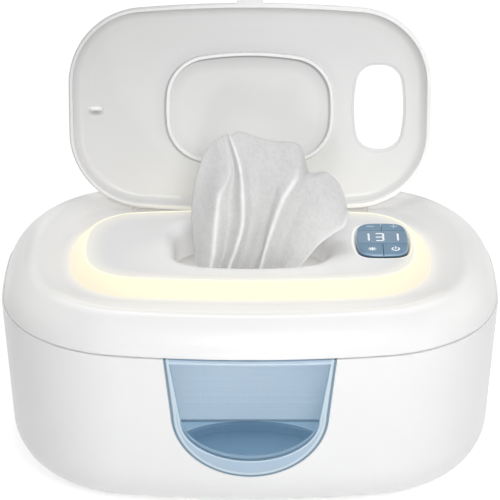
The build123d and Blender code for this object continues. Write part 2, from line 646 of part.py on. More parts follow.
def lid_seal():
    """The soft ring that closes round the dispensing opening."""
    ring = SEAL.prism(SEAL_Z, LID_CEILING_Z + SEAL_DEEP) - SEAL.column(SEAL_WIDE)
    return opened(fillet(flat_edges(ring, SEAL_Z), 0.6))


def opened(part):
    return part.rotate(Axis((0, LID_AXIS_Y, LID_AXIS_Z), (1, 0, 0)), -LID_OPEN_DEG)


def dispensed_wipe():
    """The pulled-up wipe: narrow in the throat and fanned out above the deck."""
    waists = (
        (91, -1, 0, 14, 6),
        (101, -1, -3, 23, 9),
        (112, 3, -1, 31, 13),
        (124, 9, -1, 39, 14),
        (140, 7, 0, 36, 13),
        (158, 3, 3, 27, 10),
        (171, -2, 5, 11, 5),
    )
    return loft([Pos(x, y, z) * Ellipse(half_x, half_y) for z, x, y, half_x, half_y in waists])


PARTS = {
    "lower_housing": lower_housing,
    "front_window": front_window,
    "wipe_tray": wipe_tray,
    "rubber_feet": rubber_feet,
    "wipe_stack": wipe_stack,
    "cover_hinge_pins": hinge_pins,
    "top_cover": top_cover,
    "light_ring": light_ring,
    "led_strip": led_strip,
    "top_deck": top_deck,
    "key_carrier": key_carrier,
    "display_lens": display_lens,
    "display_module": display_module,
    "control_board": control_board,
    "key_switches": key_switches,
    "heater_plate": heater_plate,
    "heater_film": heater_film,
    "thermal_cutoff": thermal_cutoff,
    "temperature_sensor": temperature_sensor,
    "cover_liner": cover_liner,
    "cover_seal": cover_seal,
    "liner_screws": lambda: [screw(x, y, LINER_Z + 1.0, LINER_SCREW) for x, y in COVER_BOSSES],
    "plate_screws": lambda: [screw(x, y, HEATER_Z, PLATE_SCREW) for x, y in DECK_POSTS],
    "dc_inlet": dc_inlet,
    "lid_hinge_pin": lambda: rod(LID_PIN_R, -LUG_HALF_X, LUG_HALF_X, LID_AXIS_Y, LID_AXIS_Z),
    "dispensed_wipe": dispensed_wipe,
    "lid_shell": lid_shell,
    "lid_seal": lid_seal,
}
for key_name, (stem_x, stem_y) in KEY_STEMS.items():
    PARTS[key_name] = lambda x=stem_x, y=stem_y: key(x, y)

os.makedirs("parts", exist_ok=True)
for name, make in PARTS.items():
    made = make()
    solids = made if isinstance(made, list) else list(made.solids())
    placed = [Pos(0, FRAME_SHIFT_Y, 0) * s.solid() for s in solids]
    node = placed[0] if len(placed) == 1 else Compound(children=placed)
    export_step(node, f"parts/{name}.step")
    print(f"{name}: {len(solids)} solids, {sum(s.volume for s in solids):.0f} mm3")
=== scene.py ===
"""Looks for the baby wipe warmer: materials, lights and the pieces that a solid model leaves out.

Sizes are in metres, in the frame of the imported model: Z up, front towards -Y, feet on Z = 0.
"""

import json
import math
import random

import bmesh
import bpy
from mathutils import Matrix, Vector


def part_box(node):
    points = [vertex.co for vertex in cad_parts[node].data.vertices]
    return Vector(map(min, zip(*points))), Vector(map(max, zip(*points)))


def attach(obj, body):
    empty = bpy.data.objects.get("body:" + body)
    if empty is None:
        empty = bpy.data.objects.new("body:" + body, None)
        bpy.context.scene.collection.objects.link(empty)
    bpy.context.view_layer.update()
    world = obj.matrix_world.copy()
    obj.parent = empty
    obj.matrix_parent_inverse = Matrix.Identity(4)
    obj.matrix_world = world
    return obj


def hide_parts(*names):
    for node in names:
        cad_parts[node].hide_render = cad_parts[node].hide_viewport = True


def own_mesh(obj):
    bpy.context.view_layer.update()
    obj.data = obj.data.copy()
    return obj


MM = 0.001
random.seed(7)

# ---------------------------------------------------------------- the view
CAMERA_DISTANCE = 1.400         # from the point it was fitted round, 60 mm above the table
CAMERA_HEIGHT_ANGLE = math.radians(27.03)
CAMERA_LOOK_DOWN = math.radians(25.3)
CAMERA_LENS = 196.2
SENSOR = 36.0
CAMERA_TARGET_Y = -3.5 * MM
CAMERA_TARGET_Z = 60 * MM

# ---------------------------------------------------------------- places taken from the frame
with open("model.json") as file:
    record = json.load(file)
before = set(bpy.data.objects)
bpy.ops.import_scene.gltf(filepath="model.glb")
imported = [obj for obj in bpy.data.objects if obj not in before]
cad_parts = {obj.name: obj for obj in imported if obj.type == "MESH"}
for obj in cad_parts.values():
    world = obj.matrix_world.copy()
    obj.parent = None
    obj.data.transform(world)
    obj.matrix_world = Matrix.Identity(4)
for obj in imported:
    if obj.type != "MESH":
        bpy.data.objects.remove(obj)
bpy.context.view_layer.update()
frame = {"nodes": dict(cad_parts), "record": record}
record = frame["record"]
nodes = frame["nodes"]
DECK_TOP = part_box("top_deck")[1].z
KEY_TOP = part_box("display_lens")[1].z
FLOOR_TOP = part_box("wipe_stack")[0].z

# ---------------------------------------------------------------- places in the model that the looks follow
SHIFT_Y = -3.5 * MM             # the frame's origin is behind the body's middle by this much
# The window's outlines are Us: half the width at the parting line, the half ellipse's two radii,
# and the height of its centre.
WINDOW = (41.7 * MM, 38.2 * MM, 34.2 * MM, 60.0 * MM)
CLEAR = (39.7 * MM, 34.1 * MM, 22.7 * MM, 57.4 * MM)
CLEAR_TOP_Z, WINDOW_TOP_Z = 89.3 * MM, 92.5 * MM
# Ovals seen from above: half sizes, the radii of the front, side and corner arcs, and the centre.
RING = (91.0 * MM, 49.5 * MM, 535 * MM, 95.5 * MM, 33.7 * MM, (0, -1.6 * MM + SHIFT_Y))
PANEL = (13.5 * MM, 19.1 * MM, 60 * MM, 70 * MM, 7 * MM, (66.9 * MM, 2.0 * MM + SHIFT_Y))
LID_RIM = (94.3 * MM, 55.1 * MM, 700 * MM, 1500 * MM, 40 * MM, (0, 1.5 * MM + SHIFT_Y))
# The shade beside the seal is an oval like the seal's, moved a little away from the light.
SEAL_SHADE = (42.9 * MM, 29.1 * MM, 157.1 * MM, 80.1 * MM, 21.5 * MM, (-0.8 * MM, 3.5 * MM + SHIFT_Y))
RING_FOOT_Z, RING_RUN = 103.7 * MM, 7.2 * MM
LID_AXIS = (0, 54.5 * MM + SHIFT_Y, 105.1 * MM)
LID_OPEN = math.radians(101)
CATCH_PLACE = (-80.6 * MM, 3.1 * MM + SHIFT_Y)
SCOOP_CENTRE, SCOOP_HALF = (0, -66.0 * MM + SHIFT_Y), (37 * MM, 22.8 * MM)


# ---------------------------------------------------------------- node materials
class Finish:
    """A node material, with short calls to add nodes and join them."""

    def __init__(self, name):
        self.material = bpy.data.materials.new(name)
        self.material.use_nodes = True
        self.tree = self.material.node_tree
        self.shader = self.tree.nodes["Principled BSDF"]
        self.place = self.add("ShaderNodeTexCoord").outputs["Object"]

    def add(self, kind, **settings):
        node = self.tree.nodes.new(kind)
        for key, value in settings.items():
            setattr(node, key, value)
        return node

    def join(self, source, socket):
        self.tree.links.new(source, socket)

    def set(self, **values):
        """Sets the surface's inputs, such as Roughness."""
        for key, value in values.items():
            self.shader.inputs[key.replace("_", " ")].default_value = value

    def surface(self, **sources):
        """Joins sources to the surface's inputs, such as Base_Color, in place of what was joined there."""
        for key, source in sources.items():
            self.join(source, self.shader.inputs[key.replace("_", " ")])

    def bump(self, height, depth_mm):
        node = self.add("ShaderNodeBump")
        node.inputs["Distance"].default_value = depth_mm * MM
        self.join(height, node.inputs["Height"])
        self.surface(Normal=node.outputs["Normal"])

    def noise(self, size_mm, detail=2.0, source=None):
        """A noise whose cells are about this large."""
        node = self.add("ShaderNodeTexNoise")
        node.inputs["Scale"].default_value = 1 / (size_mm * MM)
        node.inputs["Detail"].default_value = detail
        self.join(source or self.place, node.inputs["Vector"])
        return node.outputs["Fac"]

    def axes(self, source=None):
        """The place, or another vector, as separate x, y and z."""
        node = self.add("ShaderNodeSeparateXYZ")
        self.join(source or self.place, node.inputs[0])
        return node.outputs

    # ---- sums, where each value is a number or a socket
    def math(self, operation, *values):
        node = self.add("ShaderNodeMath", operation=operation)
        for socket, value in zip(node.inputs, values):
            if isinstance(value, (int, float)):
                socket.default_value = value
            else:
                self.join(value, socket)
        return node.outputs[0]

    def plus(self, total, *others):
        for other in others:
            total = self.math("ADD", total, other)
        return total

    def minus(self, a, b):
        return self.math("SUBTRACT", a, b)

    def times(self, product, *others):
        for other in others:
            product = self.math("MULTIPLY", product, other)
        return product

    def most(self, largest, *others):
        """The largest of these."""
        for other in others:
            largest = self.math("MAXIMUM", largest, other)
        return largest

    def length(self, a, b):
        """The length of the line from (0, 0) to (a, b)."""
        return self.math("SQRT", self.plus(self.times(a, a), self.times(b, b)))

    def spread(self, factor, low, high, start=0.3, end=0.7):
        """Maps a factor from start..end to low..high, and holds it there past both ends."""
        node = self.add("ShaderNodeMapRange")
        for name, value in (("From Min", start), ("From Max", end), ("To Min", low), ("To Max", high)):
            node.inputs[name].default_value = value
        self.join(factor, node.inputs["Value"])
        return node.outputs["Result"]

    def band(self, factor, middle, half_wide, fade, strength=1.0):
        """The strength within half_wide of the middle, falling to 0 over the fade."""
        away = self.math("ABSOLUTE", self.minus(factor, middle))
        return self.spread(away, strength, 0.0, half_wide, half_wide + fade)

    def either(self, factor, first, second):
        """The first number where the factor is 0, and the second where it is 1."""
        node = self.add("ShaderNodeMix")
        self.join(factor, node.inputs["Factor"])
        self.join(first, node.inputs["A"])
        self.join(second, node.inputs["B"])
        return node.outputs["Result"]

    def mixed(self, factor, first, second):
        """A mix of two colours, each a tuple or a socket."""
        node = self.add("ShaderNodeMix", data_type="RGBA")
        for name, value in (("A", first), ("B", second)):
            if isinstance(value, tuple):
                node.inputs[name].default_value = (*value, 1)
            else:
                self.join(value, node.inputs[name])
        self.join(factor, node.inputs["Factor"])
        return node.outputs["Result"]

    # ---- how far this place is from an outline
    def reach(self, across, along, centre, half):
        """How far out this place is in an ellipse: 0 at its centre and 1 on its edge."""
        share_across = self.math("DIVIDE", self.minus(across, centre[0]), half[0])
        share_along = self.math("DIVIDE", self.minus(along, centre[1]), half[1])
        return self.length(share_across, share_along)

    def past_window(self, half_top, half_x, half_z, centre_z):
        """How far this place is outside a window outline, seen from the front. Negative inside."""
        axes = self.axes()
        across = self.math("ABSOLUTE", axes["X"])
        above = self.minus(axes["Z"], centre_z)
        round_edge = self.minus(self.length(across, self.times(above, half_x / half_z)), half_x)
        slope = (half_top - half_x) / (WINDOW_TOP_Z - centre_z)
        side_edge = self.minus(across, self.math("MULTIPLY_ADD", above, slope, half_x))
        return self.either(self.math("GREATER_THAN", above, 0.0), round_edge, side_edge)

    def past_oval(self, half_x, half_y, front_r, side_r, corner_r, centre, axes=None):
        """How far this place is outside an eight-arc oval, seen from above. Negative inside."""
        side_c, front_c = half_x - side_r, half_y - front_r
        corner_x, corner_y = corner_centre(side_c, front_c, side_r - corner_r, front_r - corner_r)
        axes = axes or self.axes()
        across = self.math("ABSOLUTE", self.minus(axes["X"], centre[0]))
        along = self.math("ABSOLUTE", self.minus(axes["Y"], centre[1]))
        front = self.minus(self.length(across, self.minus(along, front_c)), front_r)
        side = self.minus(self.length(self.minus(across, side_c), along), side_r)
        over_x, over_y = self.minus(across, corner_x), self.minus(along, corner_y)
        corner = self.minus(self.length(over_x, over_y), corner_r)
        first = math.atan2(corner_y, corner_x - side_c)
        last = math.atan2(corner_y - front_c, corner_x)
        after_side = self.minus(self.times(over_y, math.cos(first)), self.times(over_x, math.sin(first)))
        before_front = self.minus(self.times(over_x, math.sin(last)), self.times(over_y, math.cos(last)))
        is_corner = self.math("GREATER_THAN", self.math("MINIMUM", after_side, before_front), 0.0)
        return self.either(is_corner, self.most(front, side), corner)


def corner_centre(side_c, front_c, to_side, to_front):
    """Where the corner arc of an eight-arc oval has its centre."""
    apart = math.hypot(side_c, front_c)
    along = (to_front**2 - to_side**2 + apart**2) / (2 * apart)
    off = math.sqrt(to_front**2 - along**2)
    ex, ey = side_c / apart, -front_c / apart
    options = [(ex * along - s * ey * off, front_c + ey * along + s * ex * off) for s in (1, -1)]
    return max(options, key=min)


def shade(colour, by):
    """The colour, darker or lighter by a factor."""
    return tuple(channel * by for channel in colour)


DRIFT_MM, DRIFT_SHADE = 45, 0.975       # moulded plastic's slow patches of tone: their size and darkest shade
GLOSS_PLAY = 0.04                       # how far moulded plastic's roughness varies, up and down


def drift_tones(finish, colour):
    """Moulded plastic's slow drift of tone."""
    return finish.mixed(finish.noise(DRIFT_MM, 3), shade(colour, DRIFT_SHADE), colour)


def moulded(name, colour, roughness, grain_mm=0.6, depth_mm=0.01, coat=0.0):
    """Moulded plastic: a slow drift of tone, a fine spark-eroded grain, and gloss that varies with it."""
    finish = Finish(name)
    grain = finish.noise(grain_mm, 3)
    finish.surface(Base_Color=drift_tones(finish, colour),
                   Roughness=finish.spread(grain, roughness - GLOSS_PLAY, roughness + GLOSS_PLAY))
    finish.bump(grain, depth_mm)
    finish.set(Coat_Weight=coat)
    return finish


# ---------------------------------------------------------------- the white shell and lid
# The second tone is the lid's inner side: the shell's white plastic, painted darker as shade.
SHELL_TONE, LID_SHADED_TONE = (0.90, 0.90, 0.90), (0.74, 0.74, 0.74)
SHADE_TONE = (0.10, 0.10, 0.10)         # what the soft shade on the lid is mixed towards
SHELL_ROUGHNESS, SHELL_COAT = 0.38, 0.15
LID_OUTER_FROM_Z = (113.4 * MM, 113.6 * MM)     # when shut, the lid's inner side lies under this
LID_RIM_IN = (-2.6 * MM, -1.9 * MM)             # the flat rim begins here, measured from LID_RIM
# The oval shade under the catch and the oval light on its upper side: how far past the catch's middle and
# half the height, then the strength in the middle, and where in the oval it starts to fade and ends.
CATCH_SHADE = (1.7 * MM, 1.7 * MM, 0.52, 0.3, 1.15)
CATCH_LIGHT = (-0.7 * MM, 0.68 * MM, 0.26, 0.5, 1.1)
CATCH_HALF_X = 4.0 * MM
# Bands as Finish.band takes them: how far past an outline, half the width, the fade and the strength.
# The seal's two bands are painted shade, the slope, crest and back-left bands painted light, the pad's band a
# painted highlight.
SEAL_SHADOW_LINE = (0.0, 0.9 * MM, 0.7 * MM, 0.45)
SEAL_SOFT_SHADE = (0.0, 0.5 * MM, 7 * MM, 0.09)
SLOPE_BANDS = (
    (11 * MM, 4.5 * MM, 4 * MM, 0.13),
    (17.8 * MM, 3.0 * MM, 2.0 * MM, 0.21),
    (23 * MM, 2.5 * MM, 3 * MM, 0.14),
)
CREST_BAND = (28 * MM, 4 * MM, 8 * MM, 0.10)
BACK_LEFT_BAND = (-80 * MM, 8 * MM, 16 * MM, 0.09)      # this one is along X
PAD_HALO = (1.0 * MM, 0.6 * MM, 0.7 * MM, 0.30)
GLOW_REACH, GLOW_REACH_IN, GLOW_STRENGTH = 8 * MM, 13 * MM, 0.24
GLOW_OUTWARDS = 0.8                     # where the glow outside the ring starts, when inside it starts at 1
THROAT_LIGHT, TROUGH_LIGHT = 0.105, 0.06
THROAT_CENTRE, THROAT_HALF = (6 * MM, -22 * MM), (64 * MM, 32 * MM)
# The oval of light on the lid behind the wipe, seen from the front.
WIPE_LIGHT_CENTRE, WIPE_LIGHT_HALF = (0, 144 * MM), (34 * MM, 27 * MM)


def shell_white():
    """The shell's white where no light ring is near."""
    return moulded("shell_white", SHELL_TONE, SHELL_ROUGHNESS, coat=SHELL_COAT).material


def shut_axes(finish):
    """This place's x, y and z after the lid, which the model shows open, is turned back to shut."""
    turned = finish.add("ShaderNodeVectorRotate", rotation_type="X_AXIS")
    turned.inputs["Center"].default_value = LID_AXIS
    turned.inputs["Angle"].default_value = LID_OPEN
    finish.join(finish.place, turned.inputs["Vector"])
    return finish.axes(turned.outputs["Vector"])


def seal_shade(finish, height, shut):
    """A soft line beside the seal, on the side away from the light, and shade inside the seal's top."""
    past = finish.past_oval(*SEAL_SHADE, shut)
    inside = finish.times(finish.math("LESS_THAN", past, 0.0), finish.spread(past, 0.0, 1.0, -9 * MM, 0.0))
    top = finish.spread(height, 0.0, 0.22, 155 * MM, 180 * MM)
    beside = finish.plus(finish.band(past, *SEAL_SHADOW_LINE), finish.band(past, *SEAL_SOFT_SHADE))
    return finish.plus(beside, finish.times(inside, top))


def wall_shade(finish, height, past_lid):
    """Shade towards the lid's side wall, most of all high up, and a little near the top."""
    wall = finish.spread(past_lid, 0.0, 0.10, -12 * MM, LID_RIM_IN[0])
    high_up = finish.spread(height, 0.3, 1.0, 130 * MM, 185 * MM)
    top = finish.spread(height, 0.0, 0.05, 160 * MM, 195 * MM)
    return finish.plus(finish.times(wall, high_up), top)


def catch_spot(finish, shut, past_catch, half_y, strength, fade_from, fade_to):
    """A soft oval beside the catch: painted shade under it, and a painted highlight on its upper side."""
    centre = (CATCH_PLACE[0], CATCH_PLACE[1] + past_catch)
    reach = finish.reach(shut["X"], shut["Y"], centre, (CATCH_HALF_X, half_y))
    return finish.spread(reach, strength, 0.0, fade_from, fade_to)


def rim_tones(finish, past_lid, left_shade):
    """The lid's flat rim is as white as the shell, with painted shade to the left, and a painted dark line of
    shade along its edge there.
    """
    outline = finish.spread(past_lid, 0.0, 3.0, -0.9 * MM, -0.5 * MM)
    dark = finish.plus(finish.times(left_shade, 2.0), finish.times(outline, left_shade))
    return finish.mixed(dark, SHELL_TONE, SHADE_TONE)


def lid_light(finish, axes):
    """Painted light on the lid's inner side: the light ring's glow low down, and light behind the wipe where
    its shadow falls.
    """
    low = finish.spread(axes["Z"], 0.125, 0.0, 112 * MM, 195 * MM)
    behind_wipe = finish.reach(axes["X"], axes["Z"], WIPE_LIGHT_CENTRE, WIPE_LIGHT_HALF)
    return finish.plus(low, finish.spread(behind_wipe, 0.085, 0.0, 0.2, 1.15))


def lid_white():
    """The lid's inner side is painted a little greyer than the shell as shade, with painted shade beside the
    seal, the catch and the side wall, a painted highlight on the catch and painted light low down. Outside it
    is like the shell."""
    finish = moulded("lid_white", LID_SHADED_TONE, SHELL_ROUGHNESS, coat=SHELL_COAT)
    axes, shut = finish.axes(), shut_axes(finish)
    past_lid = finish.past_oval(*LID_RIM, shut)
    is_inner = finish.spread(shut["Z"], 1.0, 0.0, *LID_OUTER_FROM_Z)
    is_rim = finish.spread(past_lid, 0.0, 1.0, *LID_RIM_IN)
    left_shade = finish.spread(axes["X"], 0.10, 0.0, -85 * MM, 20 * MM)
    catch_shade = catch_spot(finish, shut, *CATCH_SHADE)
    catch_light = catch_spot(finish, shut, *CATCH_LIGHT)
    dark = finish.plus(seal_shade(finish, axes["Z"], shut), wall_shade(finish, axes["Z"], past_lid),
                       left_shade, catch_shade, finish.times(catch_light, -0.8))
    face = finish.mixed(finish.times(dark, is_inner), drift_tones(finish, LID_SHADED_TONE), SHADE_TONE)
    inner = finish.mixed(is_rim, face, rim_tones(finish, past_lid, left_shade))
    light = finish.times(finish.plus(lid_light(finish, axes), catch_light), is_inner)
    finish.surface(Base_Color=finish.mixed(is_inner, SHELL_TONE, inner), Emission_Strength=light,
                   Emission_Color=finish.mixed(light, (1.0, 1.0, 1.0), (1.0, 0.985, 0.95)))
    return finish.material


def slope_light(finish, axes, past_ring):
    """Light on the rounded slopes outside the ring: in front, on the crest of both sides, and back left."""
    in_front = finish.spread(axes["Y"], 1.0, 0.0, -66 * MM, -48 * MM)
    front = finish.times(in_front, finish.most(*[finish.band(past_ring, *band) for band in SLOPE_BANDS]))
    beside = finish.spread(finish.math("ABSOLUTE", axes["X"]), 0.0, 1.0, 80 * MM, 105 * MM)
    crest = finish.times(beside, finish.band(past_ring, *CREST_BAND))
    towards_back = finish.spread(axes["Y"], 0.0, 1.0, 8 * MM, 32 * MM)
    back_left = finish.times(towards_back, finish.band(axes["X"], *BACK_LEFT_BAND),
                             finish.math("GREATER_THAN", past_ring, 0.0))
    return finish.most(front, crest, back_left)


def recess_light(finish, axes, past_ring):
    """Light in the recess: in the trough at the back, and on the deck round the throat."""
    trough = finish.times(finish.spread(axes["Z"], TROUGH_LIGHT, 0.0, 101 * MM, 103.6 * MM),
                          finish.math("GREATER_THAN", axes["Y"], 38 * MM))
    from_throat = finish.reach(axes["X"], axes["Y"], THROAT_CENTRE, THROAT_HALF)
    throat = finish.times(finish.spread(from_throat, THROAT_LIGHT, 0.0, 0.6, 1.2),
                          finish.math("LESS_THAN", past_ring, -RING_RUN))
    return finish.most(trough, throat)


def lit_shell():
    """The shell's white, with the light ring's warm glow painted on both sides of the ring, a painted
    highlight round the key pad, and painted light on the slopes and in the recess."""
    finish = moulded("lit_shell", SHELL_TONE, SHELL_ROUGHNESS, coat=SHELL_COAT)
    axes = finish.axes()
    past_ring = finish.past_oval(*RING)
    outwards = finish.spread(past_ring, GLOW_OUTWARDS, 0.0, 0.0, GLOW_REACH)
    inwards = finish.spread(past_ring, 0.0, 1.0, -RING_RUN - GLOW_REACH_IN, -RING_RUN)
    near = finish.math("MINIMUM", outwards, inwards)
    glow = finish.times(near, near, GLOW_STRENGTH)
    halo = finish.band(finish.past_oval(*PANEL), *PAD_HALO)
    slopes = slope_light(finish, axes, past_ring)
    recess = recess_light(finish, axes, past_ring)
    finish.surface(Emission_Color=finish.mixed(near, (1.0, 0.97, 0.90), (1.0, 0.84, 0.28)),
                   Emission_Strength=finish.most(glow, halo, slopes, recess))
    return finish.material


# ---------------------------------------------------------------- the window, ring, tray and keys
PANE_TONE, PANE_ALPHA = (0.24, 0.52, 0.78), 0.15        # the alpha is of each of the pane's two faces
RIM_TONE, RIM_OUTER_TONE, RIM_ALPHA = (0.465, 0.615, 0.765), (0.30, 0.44, 0.57), 0.86
# Fine lines of painted highlight and shade in the window's rim: how far past an outline, half the width, the
# fade; and the tone.
PALE_LINE = (-1.9 * MM, 0.35 * MM, 0.5 * MM), (0.68, 0.80, 0.88)
DARK_LINE = (-0.6 * MM, 0.25 * MM, 0.3 * MM), (0.16, 0.26, 0.35)
CLEAR_LINE = (0.4 * MM, 0.2 * MM, 0.4 * MM), (0.66, 0.79, 0.88)
TRAY_TONE = (0.48, 0.64, 0.78)


def window_blue():
    """Clear blue plastic, milky in the rim that runs round the clear part, with a darker outer band
    and fine lines of painted highlight and shade along the rim's edges."""
    finish = moulded("window_blue", PANE_TONE, 0.10, grain_mm=3, depth_mm=0.004, coat=0.5)
    past = finish.past_window(*WINDOW)
    above_clear = finish.minus(finish.axes()["Z"], CLEAR_TOP_Z)
    past_clear = finish.most(finish.past_window(*CLEAR), above_clear)
    is_rim = finish.spread(past_clear, 0.0, 1.0, -0.6 * MM, -0.1 * MM)
    is_outer = finish.spread(past, 0.0, 1.0, -2.4 * MM, -0.9 * MM)
    rim = finish.mixed(is_outer, RIM_TONE, RIM_OUTER_TONE)
    for past_edge, (line, tone) in ((past, PALE_LINE), (past, DARK_LINE), (past_clear, CLEAR_LINE)):
        rim = finish.mixed(finish.band(past_edge, *line), rim, tone)
    finish.surface(Base_Color=finish.mixed(is_rim, PANE_TONE, rim),
                   Alpha=finish.spread(is_rim, PANE_ALPHA, RIM_ALPHA, 0.0, 1.0))
    return finish.material


def diffuser():
    """Milky plastic lit from inside: brightest on the flat lip, warmer at its foot and at the corners."""
    finish = moulded("diffuser", (0.25, 0.24, 0.21), 0.45)
    axes = finish.axes()
    at_corner = finish.spread(finish.math("ABSOLUTE", axes["X"]), 0.0, 1.0, 45 * MM, 90 * MM)
    at_foot = finish.spread(axes["Z"], 1.0, 0.0, RING_FOOT_Z, RING_FOOT_Z + 5 * MM)
    on_lip = finish.spread(axes["Z"], 0.0, 1.0, DECK_TOP - 0.4 * MM, DECK_TOP - 0.1 * MM)
    foot_tone = finish.mixed(at_corner, (0.77, 0.71, 0.53), (0.76, 0.65, 0.50))
    slope_tone = finish.mixed(at_corner, (0.79, 0.78, 0.53), (0.78, 0.72, 0.53))
    slope_tone = finish.mixed(at_foot, slope_tone, foot_tone)
    finish.surface(Emission_Color=finish.mixed(on_lip, slope_tone, (0.80, 0.79, 0.62)))
    finish.set(Emission_Strength=1.0)
    return finish.material


def wipe_tray():
    """The chamber's blue floor, with a painted shadow under the pile; the finger scoop has painted shade,
    darkest at the back, and a painted highlight on its edge.
    """
    finish = moulded("tray_plastic", TRAY_TONE, 0.35)
    axes = finish.axes()
    reach = finish.reach(axes["X"], axes["Y"], SCOOP_CENTRE, SCOOP_HALF)
    towards_back = finish.spread(axes["Y"], 0.0, 1.0, -84 * MM, -48 * MM)
    # The scoop's colours are painted shade, darkest at its back wall.
    scoop = finish.mixed(towards_back, (0.25, 0.41, 0.57), (0.045, 0.11, 0.22))
    # Painted contact shadow on the floor under the pile's front.
    pile_contact_shadow = finish.spread(axes["Y"], 0.0, 1.0, -48.2 * MM, -47.4 * MM)
    floor = finish.mixed(pile_contact_shadow, TRAY_TONE, (0.12, 0.2, 0.3))
    # A painted highlight along the scoop's edge.
    floor = finish.mixed(finish.band(reach, 1.01, 0.008, 0.02, 0.7), floor, (0.60, 0.74, 0.84))
    in_scoop = finish.spread(reach, 1.0, 0.0, 0.99, 1.01)
    finish.surface(Base_Color=finish.mixed(in_scoop, floor, scoop))
    return finish.material


def key_blue(name, tone, roughness, coat):
    """Blue keys with a painted highlight along the rounded edge, then painted shade down the side."""
    finish = moulded(name, tone, roughness, coat=coat)
    z = finish.axes()["Z"]
    # A painted highlight on the rounded edge, and painted shade down the side.
    edge = finish.band(z, KEY_TOP - 0.45 * MM, 0.15 * MM, 0.2 * MM, 0.5)
    side = finish.spread(z, 1.0, 0.0, KEY_TOP - 1.1 * MM, KEY_TOP - 0.75 * MM)
    top = finish.mixed(edge, tone, (0.45, 0.58, 0.72))
    finish.surface(Base_Color=finish.mixed(side, top, shade(tone, 0.25)))
    return finish.material


# ---------------------------------------------------------------- small parts, lamps and inner parts
def soft_rubber(name, colour):
    """Rubber with a finer, deeper grain than moulded plastic."""
    return moulded(name, colour, 0.6, grain_mm=0.4, depth_mm=0.02).material


def glowing(name, colour, roughness, glow, strength, patch_mm, **grain):
    """Moulded plastic that gives off light, whose tone drifts between two colours."""
    finish = moulded(name, colour, roughness, **grain)
    finish.surface(Emission_Color=finish.mixed(finish.noise(patch_mm), *glow))
    finish.set(Emission_Strength=strength)
    return finish.material


def seal_white():
    """The lid's seal, with a faint painted glow that makes it look a little brighter than the lid round it.
    """
    glow = (1.0, 1.0, 1.0), (0.97, 0.97, 0.97)
    return glowing("seal_silicone", (0.92, 0.92, 0.92), 0.5, glow, 0.06, 4, grain_mm=0.4, depth_mm=0.02)


def lamp_white():
    """The light strip's lamps, under the ring."""
    return glowing("led_white", (0.8, 0.78, 0.6), 0.3, ((1.0, 0.95, 0.72), (1.0, 0.90, 0.60)), 1.5, 2)


def mark_white():
    """Lit marks on the key pad."""
    return glowing("mark_white", (0.85, 0.90, 0.95), 0.4, ((0.86, 0.95, 1.0), (1.0, 1.0, 1.0)), 0.22, 1)


def mark_pale():
    """The minus and plus signs, printed and not lit."""
    return moulded("mark_pale", (0.62, 0.74, 0.82), 0.4).material


def metal(name, colour, roughness, stretch):
    """Metal with a drawn or turned grain: noise stretched along one axis."""
    finish = Finish(name)
    mapping = finish.add("ShaderNodeMapping")
    mapping.inputs["Scale"].default_value = stretch
    finish.join(finish.place, mapping.inputs["Vector"])
    lines = finish.noise(0.5, 4, mapping.outputs["Vector"])
    finish.surface(Base_Color=finish.mixed(lines, shade(colour, 0.85), colour),
                   Roughness=finish.spread(lines, roughness - 0.06, roughness + 0.08))
    finish.bump(lines, 0.01)
    finish.set(Metallic=1.0)
    return finish.material


def heater_film():
    """Amber film with the wavy trace of the heating element under it."""
    finish = Finish("heater_amber")
    wave = finish.add("ShaderNodeTexWave", wave_type="BANDS", bands_direction="Y")
    wave.inputs["Scale"].default_value = 60
    wave.inputs["Distortion"].default_value = 1.5
    finish.join(finish.place, wave.inputs["Vector"])
    trace = finish.spread(wave.outputs["Fac"], 0.0, 1.0, 0.45, 0.55)
    finish.surface(Base_Color=finish.mixed(trace, (0.62, 0.30, 0.05), (0.30, 0.12, 0.03)),
                   Roughness=finish.spread(finish.noise(2), 0.2, 0.35))
    finish.bump(trace, 0.03)
    return finish.material


def circuit_board():
    """Green solder mask with paler tracks."""
    finish = Finish("board_green")
    brick = finish.add("ShaderNodeTexBrick")
    brick.inputs["Scale"].default_value = 300
    brick.inputs["Color1"].default_value = (0.02, 0.16, 0.07, 1)
    brick.inputs["Color2"].default_value = (0.03, 0.20, 0.09, 1)
    brick.inputs["Mortar"].default_value = (0.06, 0.30, 0.14, 1)
    finish.join(finish.place, brick.inputs["Vector"])
    finish.surface(Base_Color=brick.outputs["Color"], Roughness=finish.spread(finish.noise(1), 0.25, 0.4))
    finish.bump(brick.outputs["Fac"], 0.03)
    return finish.material


# ---------------------------------------------------------------- cloth
# One cloth in three tones: the pile's front and top lighter, the pulled-up sheet darker, as painted light and
# shade.
PILE_TONE, PILE_TOP_TONE, SHEET_TONE = (0.82, 0.88, 0.93), (0.86, 0.86, 0.86), (0.69, 0.69, 0.69)
# Painted highlight on the sheet's sharp folds, its tone and its glow; and painted light at the sheet's side
# edges.
RIDGE_HIGHLIGHT_TONE, RIDGE_LIGHT = (0.90, 0.90, 0.90), 0.13
SHEET_EDGE_LIGHT = 0.11
DOT_PITCH = 1.9 * MM


